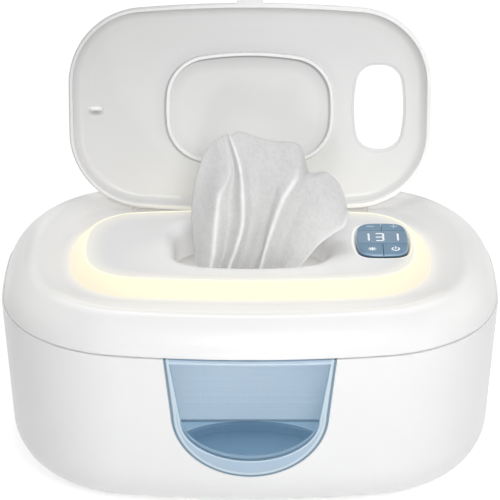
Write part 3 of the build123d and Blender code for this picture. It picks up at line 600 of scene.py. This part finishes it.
def wipe_cloth(name, tone, on_sheet=False):
    """Damp nonwoven cloth: tangled fibres, with faint uneven rows of embossed dots. On the sheet that is
    pulled up, the pattern follows the cloth and the sharp folds carry a painted highlight. Returns the
    Finish."""
    finish = Finish(name)
    source = finish.add("ShaderNodeTexCoord").outputs["UV"] if on_sheet else finish.place
    fibre = finish.noise(0.35, 5, source)
    patches = finish.noise(9, 2, source)
    dots = finish.add("ShaderNodeTexVoronoi", feature="SMOOTH_F1")
    dots.inputs["Scale"].default_value = 1 / DOT_PITCH
    dots.inputs["Randomness"].default_value = 0.6
    finish.join(source, dots.inputs["Vector"])
    dimple = finish.spread(dots.outputs["Distance"], 0.0, 1.0, 0.15, 0.55)
    height = finish.plus(finish.times(dimple, 0.4), finish.times(fibre, 0.5))
    mottle = finish.plus(finish.times(dimple, 0.4), finish.times(patches, 0.6))
    colour = finish.mixed(mottle, shade(tone, 0.86), shade(tone, 1.04))
    if on_sheet:
        colour = sheet_folds(finish, finish.axes(source), patches, colour)
    finish.surface(Base_Color=colour, Roughness=finish.spread(fibre, 0.65, 0.85))
    finish.bump(height, 0.13)
    finish.set(Sheen_Weight=0.15)
    return finish


def sheet_folds(finish, cloth, patches, colour):
    """Painted light on the sheet's sharp folds and side edges. Returns the colour, with a painted highlight
    on the folds.
    The cloth's X runs across it and its Y up it."""
    ridges = 0.0
    for rib, end in WIPE_RIDGES:
        place = rib / (len(WIPE_RIBS) - 1) * WIPE_FLAT[0]
        line = finish.band(cloth["X"], place, 0.2 * MM, 2.2 * MM)
        before_end = finish.spread(cloth["Y"], 1.0, 0.0, end - 8 * MM, end)
        ridges = finish.most(ridges, finish.times(line, before_end))
    left = finish.spread(cloth["X"], SHEET_EDGE_LIGHT, 0.0, 2 * MM, 45 * MM)
    right = finish.times(finish.spread(cloth["X"], 0.0, SHEET_EDGE_LIGHT, 86 * MM, 98 * MM),
                         finish.spread(cloth["Y"], 1.0, 0.0, 45 * MM, 75 * MM))
    finish.surface(Emission_Color=finish.mixed(patches, (0.95, 0.95, 0.95), (1.0, 1.0, 1.0)),
                   Emission_Strength=finish.most(left, right, finish.times(ridges, RIDGE_LIGHT)))
    return finish.mixed(finish.times(ridges, finish.spread(patches, 0.3, 0.75)), colour, RIDGE_HIGHLIGHT_TONE)


def stacked_wipes():
    """The pile in the chamber: painted light on its front face, less at its sides, and on its top face, which
    shows in the throat; its foot is painted dark as shade."""
    finish = wipe_cloth("wipe_cloth", PILE_TONE)
    axes = finish.axes()
    front_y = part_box("wipe_stack")[0].y
    top_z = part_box("wipe_stack")[1].z
    is_front = finish.spread(axes["Y"], 1.0, 0.0, front_y + 0.5 * MM, front_y + 1.5 * MM)
    above_foot = finish.spread(axes["Z"], 0.0, 1.0, FLOOR_TOP + 0.6 * MM, FLOOR_TOP + 1.4 * MM)
    from_above = finish.spread(axes["Z"], 0.13, 0.30, 36 * MM, 60 * MM)
    middle = finish.spread(finish.math("ABSOLUTE", axes["X"]), 1.0, 0.78, 18 * MM, 38 * MM)
    front_light = finish.times(from_above, middle, is_front, above_foot)
    top_light = finish.spread(axes["Z"], 0.0, 0.24, top_z - 1.0 * MM, top_z - 0.5 * MM)
    bluish = finish.mixed(finish.noise(30), (0.80, 0.90, 1.0), (0.86, 0.94, 1.0))
    cloth = finish.mixed(is_front, PILE_TOP_TONE, PILE_TONE)
    finish.surface(Base_Color=finish.mixed(above_foot, shade(PILE_TONE, 0.35), cloth),
                   Emission_Color=finish.mixed(is_front, (1.0, 0.97, 0.93), bluish),
                   Emission_Strength=finish.most(front_light, top_light))
    return finish.material


# ---------------------------------------------------------------- every node's finish
def dress_nodes():
    """Gives every CAD node its finish, by the record's material slots."""
    finishes = {
        "shell_white": shell_white(),
        "window_blue": window_blue(),
        "diffuser": diffuser(),
        "tray_plastic": wipe_tray(),
        "foot_rubber": soft_rubber("foot_rubber", (0.62, 0.62, 0.62)),
        "seal_silicone": seal_white(),
        "key_blue": key_blue("key_blue", (0.105, 0.24, 0.38), 0.34, 0.3),
        "display_blue": key_blue("display_blue", (0.105, 0.235, 0.375), 0.22, 0.6),
        "inner_plastic": moulded("inner_plastic", (0.80, 0.80, 0.80), 0.45).material,
        "component_black": moulded("component_black", (0.03, 0.03, 0.035), 0.4).material,
        "board_green": circuit_board(),
        "led_white": lamp_white(),
        "steel": metal("steel", (0.62, 0.62, 0.64), 0.3, (1, 12, 12)),
        "heater_aluminium": metal("heater_aluminium", (0.80, 0.81, 0.82), 0.35, (1, 14, 1)),
        "heater_amber": heater_film(),
        "wipe_cloth": stacked_wipes(),
    }
    beside_ring = lit_shell()
    special = {"top_cover": beside_ring, "top_deck": beside_ring, "lid_shell": lid_white()}
    for part in record["subparts"]:
        data = nodes[part["node"]].data
        data.materials.clear()
        data.materials.append(special.get(part["node"], finishes[part["material_slot"]]))
    return finishes


# ---------------------------------------------------------------- making meshes
def new_piece(name, mesh_code, material, body):
    """Runs mesh_code on an empty bmesh, and makes the result a piece that rides on a body."""
    form = bmesh.new()
    mesh_code(form)
    bmesh.ops.recalc_face_normals(form, faces=form.faces)
    data = bpy.data.meshes.new(name)
    form.to_mesh(data)
    form.free()
    data.materials.append(material)
    piece = bpy.data.objects.new(name, data)
    bpy.context.scene.collection.objects.link(piece)
    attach(piece, body)
    return piece


MODEL_SHARP = 32                # edges of the model that turn by more degrees than this stay sharp


def smooth(piece, angle=None):
    """Smooth shading, but with sharp edges where faces meet at more than this many degrees."""
    for polygon in piece.data.polygons:
        polygon.use_smooth = True
    if angle:
        piece.data.set_sharp_from_angle(angle=math.radians(angle))


def apply_modifiers(piece):
    """Leaves the piece with its final mesh and no modifiers."""
    bpy.context.view_layer.update()
    graph = bpy.context.evaluated_depsgraph_get()
    final = bpy.data.meshes.new_from_object(piece.evaluated_get(graph))
    piece.modifiers.clear()
    piece.data = final


# ---------------------------------------------------------------- marks on the key pad
MARK_THICK, MARK_LIFT = 0.12 * MM, 0.02 * MM
STROKE = 0.75 * MM
LEFT_KEYS_X, RIGHT_KEYS_X = 61.4 * MM, 73.2 * MM
BACK_KEYS_Y, FRONT_KEYS_Y = 16.6 * MM + SHIFT_Y, -10.3 * MM + SHIFT_Y


def join_rings(form, lower, upper):
    """A strip of quads between two rings of vertices."""
    for i in range(len(lower)):
        j = (i + 1) % len(lower)
        form.faces.new((lower[i], lower[j], upper[j], upper[i]))


def plate(form, outline, z0, z1):
    """A thin plate from an outline of (x, y) points."""
    low = [form.verts.new((x, y, z0)) for x, y in outline]
    high = [form.verts.new((x, y, z1)) for x, y in outline]
    form.faces.new(low)
    form.faces.new(high)
    join_rings(form, low, high)


def round_point(centre, radius, angle):
    """The point on a circle at this angle."""
    return centre[0] + radius * math.cos(angle), centre[1] + radius * math.sin(angle)


def stroke_outline(start, end, width):
    """A stroke with round ends, as a list of points."""
    turn = math.atan2(end[1] - start[1], end[0] - start[0])
    steps = 8
    points = []
    for centre, first in ((end, turn - math.pi / 2), (start, turn + math.pi / 2)):
        for i in range(steps + 1):
            points.append(round_point(centre, width / 2, first + math.pi * i / steps))
    return points


def arc_outline(centre, radius, width, start, end):
    """An open ring, from start to end in degrees."""
    steps = 28
    angles = [math.radians(start + (end - start) * i / steps) for i in range(steps + 1)]
    outer = [round_point(centre, radius + width / 2, angle) for angle in angles]
    inner = [round_point(centre, radius - width / 2, angle) for angle in reversed(angles)]
    return outer + inner


def mark(name, outlines, body, material):
    """A piece made of thin plates that lie on a key."""
    z0 = KEY_TOP + MARK_LIFT

    def shape(form):
        for outline in outlines:
            plate(form, outline, z0, z0 + MARK_THICK)

    new_piece(name, shape, material, body)


def minus_and_plus(material):
    """The signs on the two keys at the back."""
    half, y = 1.6 * MM, BACK_KEYS_Y
    for name, x, upright in (("minus", LEFT_KEYS_X, False), ("plus", RIGHT_KEYS_X, True)):
        strokes = [stroke_outline((x - half, y), (x + half, y), STROKE)]
        if upright:
            strokes.append(stroke_outline((x, y - half), (x, y + half), STROKE))
        mark(f"mark_{name}", strokes, f"key_{name}", material)


def light_mark(material):
    """A small sun: eight rays round a dot."""
    centre = (LEFT_KEYS_X, FRONT_KEYS_Y)
    rays, inner, outer, ray_width = 8, 0.85 * MM, 1.85 * MM, 0.65 * STROKE
    dot_middle, dot_width = 0.33 * MM, 0.6 * MM
    strokes = []
    for ray in range(rays):
        angle = math.tau * ray / rays
        strokes.append(stroke_outline(round_point(centre, inner, angle), round_point(centre, outer, angle),
                                      ray_width))
    strokes.append(arc_outline(centre, dot_middle, dot_width, 0, 359))
    mark("mark_light", strokes, "key_light", material)


def power_mark(material):
    """A ring that is open at the top, with a bar in the gap."""
    x, y = RIGHT_KEYS_X, FRONT_KEYS_Y
    radius, gap_from, gap_to = 1.8 * MM, 55, 125
    bar_low, bar_high = 0.7 * MM, 2.25 * MM
    ring = arc_outline((x, y), radius, STROKE, gap_to, gap_from + 360)
    bar = stroke_outline((x, y + bar_low), (x, y + bar_high), STROKE)
    mark("mark_power", [ring, bar], "key_power", material)


SEGMENTS = {            # strokes of a seven-segment digit, from one (x, y) to the other in a unit cell
    "top": ((0, 1), (1, 1)),
    "middle": ((0, 0.5), (1, 0.5)),
    "bottom": ((0, 0), (1, 0)),
    "upper_right": ((1, 0.5), (1, 1)),
    "lower_right": ((1, 0), (1, 0.5)),
}
READING = "131"
DIGITS = {              # the strokes that each digit lights
    "1": ("upper_right", "lower_right"),
    "3": ("top", "middle", "bottom", "upper_right", "lower_right"),
}


def display_digits(material):
    """Three lit seven-segment digits, a temperature reading."""
    wide, high, pitch = 3.9 * MM, 8.4 * MM, 7.4 * MM
    left, low = 56.2 * MM, -0.6 * MM + SHIFT_Y
    gap, width = 0.55 * MM, 0.95 * MM
    strokes = []
    for place, digit in enumerate(READING):
        x0 = left + place * pitch
        for segment in DIGITS[digit]:
            (ax, ay), (bx, by) = SEGMENTS[segment]
            start = Vector((x0 + ax * wide, low + ay * high))
            end = Vector((x0 + bx * wide, low + by * high))
            inset = (end - start).normalized() * gap
            strokes.append(stroke_outline(start + inset, end - inset, width))
    mark("display_digits", strokes, "cover", material)


# ---------------------------------------------------------------- the folded wipes in the chamber
PILE_LAYERS = 30
PILE_CORNER, CORNER_STEPS = 6 * MM, 6
PILE_SHARP = 70                 # edges of the pile that turn by more degrees than this stay sharp
PILE_PLAY = 0.04 * MM           # how far each fold may lie to one side
# One fold's round edge, as steps up: the share of its height, and how far in the edge is there.
FOLD_EDGE = ((0.04, 0.14 * MM), (0.3, 0.08 * MM), (0.7, 0.08 * MM), (0.96, 0.14 * MM))


def pile_ring(centre, half, inset):
    """A rectangle with round corners, drawn in from the pile's outline by the inset."""
    points = []
    for quarter, (side_x, side_y) in enumerate(((1, 1), (-1, 1), (-1, -1), (1, -1))):
        corner = (centre[0] + side_x * (half.x - PILE_CORNER), centre[1] + side_y * (half.y - PILE_CORNER))
        for i in range(CORNER_STEPS + 1):
            angle = math.radians(90 * quarter + 90 * i / CORNER_STEPS)
            points.append(round_point(corner, PILE_CORNER - inset, angle))
    return points


def wipe_pile(material):
    """The stack of interfolded wipes: each fold is a soft round edge with a little play."""
    low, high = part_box("wipe_stack")
    pitch = (high.z - low.z) / PILE_LAYERS
    middle, half = (low + high) / 2, (high - low) / 2

    def shape(form):
        rings = []
        for layer in range(PILE_LAYERS):
            centre = [place + random.uniform(-PILE_PLAY, PILE_PLAY) for place in (middle.x, middle.y)]
            for level, inset in FOLD_EDGE:
                z = low.z + (layer + level) * pitch
                rings.append([form.verts.new((x, y, z)) for x, y in pile_ring(centre, half, inset)])
        form.faces.new(rings[0])
        form.faces.new(rings[-1])
        for lower, upper in zip(rings, rings[1:]):
            join_rings(form, lower, upper)

    piece = new_piece("wipe_pile", shape, material, "housing")
    smooth(piece, PILE_SHARP)
    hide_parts("wipe_stack")


# ---------------------------------------------------------------- the wipe that is pulled up
# Each rib runs up the cloth, from the throat to the top edge: (x, y, z) in millimetres, with x and y
# from the throat's middle.
WIPE_RIBS = [
    [(-19, 1, 90), (-26.8, -2, 99), (-28.3, -1, 112), (-29.3, 1, 127),
     (-27.8, 3, 142), (-24.6, 5, 153), (-21, 6, 160)],
    [(-16, -4, 90), (-23.5, -10, 100), (-24, -10, 113), (-23.5, -8, 128),
     (-22, -3, 142), (-18.5, 1, 155), (-18, 5, 164)],
    [(-12, -9, 90), (-19.3, -15, 101), (-18.2, -17, 114), (-17, -16.5, 128),
     (-15.5, -13, 142), (-11, -6, 153), (-14.5, 4.5, 167)],
    [(-9, -3, 90), (-15, -9, 101), (-12.5, -10, 113), (-10.5, -9.5, 127),
     (-9.7, -7.5, 141), (-8.2, -4, 154.5), (-12, 4.5, 168.5)],
    [(-7, -9, 90), (-10.8, -15, 101), (-7, -16.5, 115), (-3.8, -16, 128),
     (-3.7, -13, 142), (-5, -7.5, 156), (-9.8, 2.5, 168)],
    [(-4, -4, 90), (-6.5, -9, 101), (-2.5, -10.5, 114), (0.3, -10.5, 128),
     (0.8, -8.5, 142), (-0.5, -4, 156), (-6, 3.5, 170)],
    [(-1, -5, 90), (-1.5, -11, 101), (2.5, -11.5, 114), (5, -11.5, 128),
     (6.3, -9, 142), (6, -4, 156), (0.5, 4, 168)],
    [(1, -6, 90), (2, -12, 101), (6, -13, 114), (8.7, -13, 128),
     (12, -10.5, 142), (15, -4.5, 154), (11, 3.5, 165)],
    [(3, -9, 90), (4.7, -15, 101), (7.5, -17, 114), (11.3, -16.5, 127),
     (16.5, -13, 141), (23.5, -6.5, 151), (24.5, 2, 163.5)],
    [(5, -5, 90), (9.5, -11, 101), (13.5, -12.5, 113), (18, -12, 125),
     (23, -9.5, 136.5), (28, -4, 147), (29.8, 1, 149)],
    [(8, -5, 90), (14, -11, 101), (19, -13, 112), (24, -13, 123),
     (28.5, -11, 134), (33.5, -6, 144.5), (38.5, -1, 149.5)],
    [(10, -4, 90), (17.5, -10, 101), (24, -12, 110), (31, -12, 118.5),
     (37, -10.5, 127), (41.8, -7, 135), (45.5, -2.5, 142)],
    [(12, -7, 90), (22, -13, 100.5), (27.5, -15, 107.5), (34, -14.5, 116),
     (41.5, -12, 121), (47.5, -9, 124), (49.5, -5.5, 128.5)],
]
# The ribs that are sharp folds with a painted highlight, and how far up the cloth each one runs.
WIPE_RIDGES = ((2, 58 * MM), (4, 84 * MM), (8, 66 * MM), (12, 84 * MM))
WIPE_THICK = 0.35 * MM
WIPE_FLAT = (0.103, 0.158)
# In the rest of this section, lengths are in millimetres, like the ribs.
# The layer behind is this far back, and then the gap further back, but only a share of the gap at its foot.
BACK_LAYER_Y, BACK_LAYER_GAP, FOOT_SHARE = 3.0, 6.0, 0.35
BACK_NARROWER, BACK_FLATTER, BACK_LOWER = 0.97, 0.25, 4.5
FOLD_ARCH = 0.8                 # how high the cloth bulges where it doubles over
CREASE_DEPTH = 0.35


def spline(points, t):
    """A Catmull-Rom curve through the points, at t from 0 to 1."""
    last = len(points) - 1
    place = min(max(t, 0.0), 1.0) * last
    i = min(int(place), last - 1)
    f = place - i
    p1, p2 = points[i], points[i + 1]
    p0 = points[i - 1] if i else 2 * p1 - p2
    p3 = points[i + 2] if i + 2 <= last else 2 * p2 - p1
    return 0.5 * (2 * p1 + (p2 - p0) * f + (2 * p0 - 5 * p1 + 4 * p2 - p3) * f**2
                  + (3 * p1 - p0 - 3 * p2 + p3) * f**3)


def pulled_wipe(material):
    """A thin wipe held in the throat: it fans out in pleats, doubles over and goes back down behind."""
    across, up = 156, 84        # faces across the cloth, and up each of its two layers
    over = 8                    # faces in the fold at the top
    ribs = [[Vector(p) for p in rib] for rib in WIPE_RIBS]

    def front(u, v):
        return spline([spline(rib, v) for rib in ribs], u)

    def behind(u, v):
        """The back layer: the same fan with shallower pleats, further back."""
        point = front(u, v)
        depth = BACK_LAYER_Y + BACK_LAYER_GAP * min(1.0, FOOT_SHARE + v)
        return Vector((point.x * BACK_NARROWER, depth + point.y * BACK_FLATTER, point.z - v * BACK_LOWER))

    def at(u, row):
        if row <= up:
            return front(u, row / up)
        if row <= up + over:
            turn = (row - up) / over
            arch = Vector((0, 0, FOLD_ARCH * math.sin(math.pi * turn)))
            return front(u, 1).lerp(behind(u, 1), turn) + arch
        return behind(u, 1 - (row - up - over) / up)

    def crease(u, v):
        """Small creases that run up the cloth, each fading in and out."""
        return CREASE_DEPTH * math.sin(37 * u + 3 * v) * math.sin(23 * u - 5 * v + 1)

    rows = 2 * up + over + 1

    def shape(form):
        grid = []
        for row in range(rows):
            line = []
            for i in range(across + 1):
                u = i / across
                point = at(u, row)
                point.y += crease(u, row / up)
                line.append(form.verts.new((point.x * MM, point.y * MM + SHIFT_Y, point.z * MM)))
            grid.append(line)
        uv = form.loops.layers.uv.new("cloth")
        for row in range(rows - 1):
            for i in range(across):
                corners = ((i, row), (i + 1, row), (i + 1, row + 1), (i, row + 1))
                face = form.faces.new([grid[r][c] for c, r in corners])
                for loop, (c, r) in zip(face.loops, corners):
                    loop[uv].uv = (c / across * WIPE_FLAT[0], r / rows * WIPE_FLAT[1])

    piece = new_piece("pulled_wipe", shape, material, "cover")
    smooth(piece)
    skin = piece.modifiers.new("thickness", "SOLIDIFY")
    skin.thickness = WIPE_THICK
    skin.offset = 0
    apply_modifiers(piece)
    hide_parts("dispensed_wipe")
    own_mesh(piece)


# ---------------------------------------------------------------- camera, floor and lights
AMBIENT = 0.33
FLOOR_LIFT = 0.60               # light that the floor gives off, so that it looks white
FLOOR_HALF, FLOOR_UNDER = 6.0, 0.2 * MM
LIGHTS = {                      # where each disk of light is, what it points at, its width and its watts
    "key": ((0.06, -0.60, 0.52), (0, -0.02, 0.11), 0.26, 1.9),
    "low": ((0.02, -0.95, 0.22), (0, 0, 0.09), 0.30, 0.87),
    "right": ((0.60, -0.55, 0.35), (0, 0, 0.08), 0.50, 0.78),
    "behind": ((0.0, 0.30, 0.95), (0, 0.02, 0.10), 0.40, 1.9),
}


def add_camera():
    """The photo's view: from the front, a little above the object."""
    data = bpy.data.cameras.new("camera")
    data.lens = CAMERA_LENS
    data.sensor_width = SENSOR
    data.clip_end = 20
    camera = bpy.data.objects.new("camera", data)
    camera.location = (
        0,
        CAMERA_TARGET_Y - CAMERA_DISTANCE * math.cos(CAMERA_HEIGHT_ANGLE),
        CAMERA_TARGET_Z + CAMERA_DISTANCE * math.sin(CAMERA_HEIGHT_ANGLE),
    )
    camera.rotation_euler = (math.pi / 2 - CAMERA_LOOK_DOWN, 0, 0)
    bpy.context.scene.collection.objects.link(camera)
    bpy.context.scene.camera = camera


def seen_rays(tree):
    """1 for rays that show the background: the camera's, and those in gloss and clear parts."""
    path = tree.nodes.new("ShaderNodeLightPath")
    total = path.outputs["Is Camera Ray"]
    for name in ("Is Glossy Ray", "Is Transmission Ray"):
        node = tree.nodes.new("ShaderNodeMath")
        node.operation = "MAXIMUM"
        tree.links.new(total, node.inputs[0])
        tree.links.new(path.outputs[name], node.inputs[1])
        total = node.outputs[0]
    return total


def add_world():
    """White to the camera, in gloss and through clear parts, and a dimmer light on everything else."""
    world = bpy.data.worlds.new("studio")
    world.use_nodes = True
    tree = world.node_tree
    background = tree.nodes["Background"]
    background.inputs["Color"].default_value = (1, 1, 1, 1)
    strength = tree.nodes.new("ShaderNodeMapRange")
    strength.inputs["To Min"].default_value = AMBIENT
    strength.inputs["To Max"].default_value = 1.0
    tree.links.new(seen_rays(tree), strength.inputs["Value"])
    tree.links.new(strength.outputs["Result"], background.inputs["Strength"])
    bpy.context.scene.world = world


def add_floor():
    """A pale floor that looks white to the camera but keeps the object's shadow."""
    finish = Finish("floor_white")
    finish.surface(Base_Color=finish.mixed(finish.noise(60), (0.88, 0.88, 0.88), (0.90, 0.90, 0.90)),
                   Emission_Strength=finish.times(seen_rays(finish.tree), FLOOR_LIFT))
    finish.set(Roughness=0.9, Emission_Color=(1, 1, 1, 1))
    data = bpy.data.meshes.new("floor")
    half = FLOOR_HALF
    corners = [(-half, -half, 0), (half, -half, 0), (half, half, 0), (-half, half, 0)]
    data.from_pydata(corners, [], [(0, 1, 2, 3)])
    data.materials.append(finish.material)
    floor = bpy.data.objects.new("floor", data)
    floor.location.z = -FLOOR_UNDER
    bpy.context.scene.collection.objects.link(floor)


def add_light(name, place, target, size, power):
    """A disk of light that points at the target."""
    data = bpy.data.lights.new(name, "AREA")
    data.shape = "DISK"
    data.size = size
    data.energy = power
    light = bpy.data.objects.new(name, data)
    light.location = place
    light.rotation_euler = (Vector(target) - Vector(place)).to_track_quat("-Z", "Y").to_euler()
    bpy.context.scene.collection.objects.link(light)


# ---------------------------------------------------------------- the whole scene
finishes = dress_nodes()
lit = mark_white()
minus_and_plus(mark_pale())
light_mark(lit)
power_mark(lit)
display_digits(lit)
wipe_pile(finishes["wipe_cloth"])
pulled_wipe(wipe_cloth("wipe_sheet", SHEET_TONE, on_sheet=True).material)
add_camera()
add_world()
add_floor()
for name, (place, target, size, power) in LIGHTS.items():
    add_light(name, place, target, size, power)
bpy.context.scene.view_settings.view_transform = "Standard"
for node in nodes.values():
    smooth(node, MODEL_SHARP)
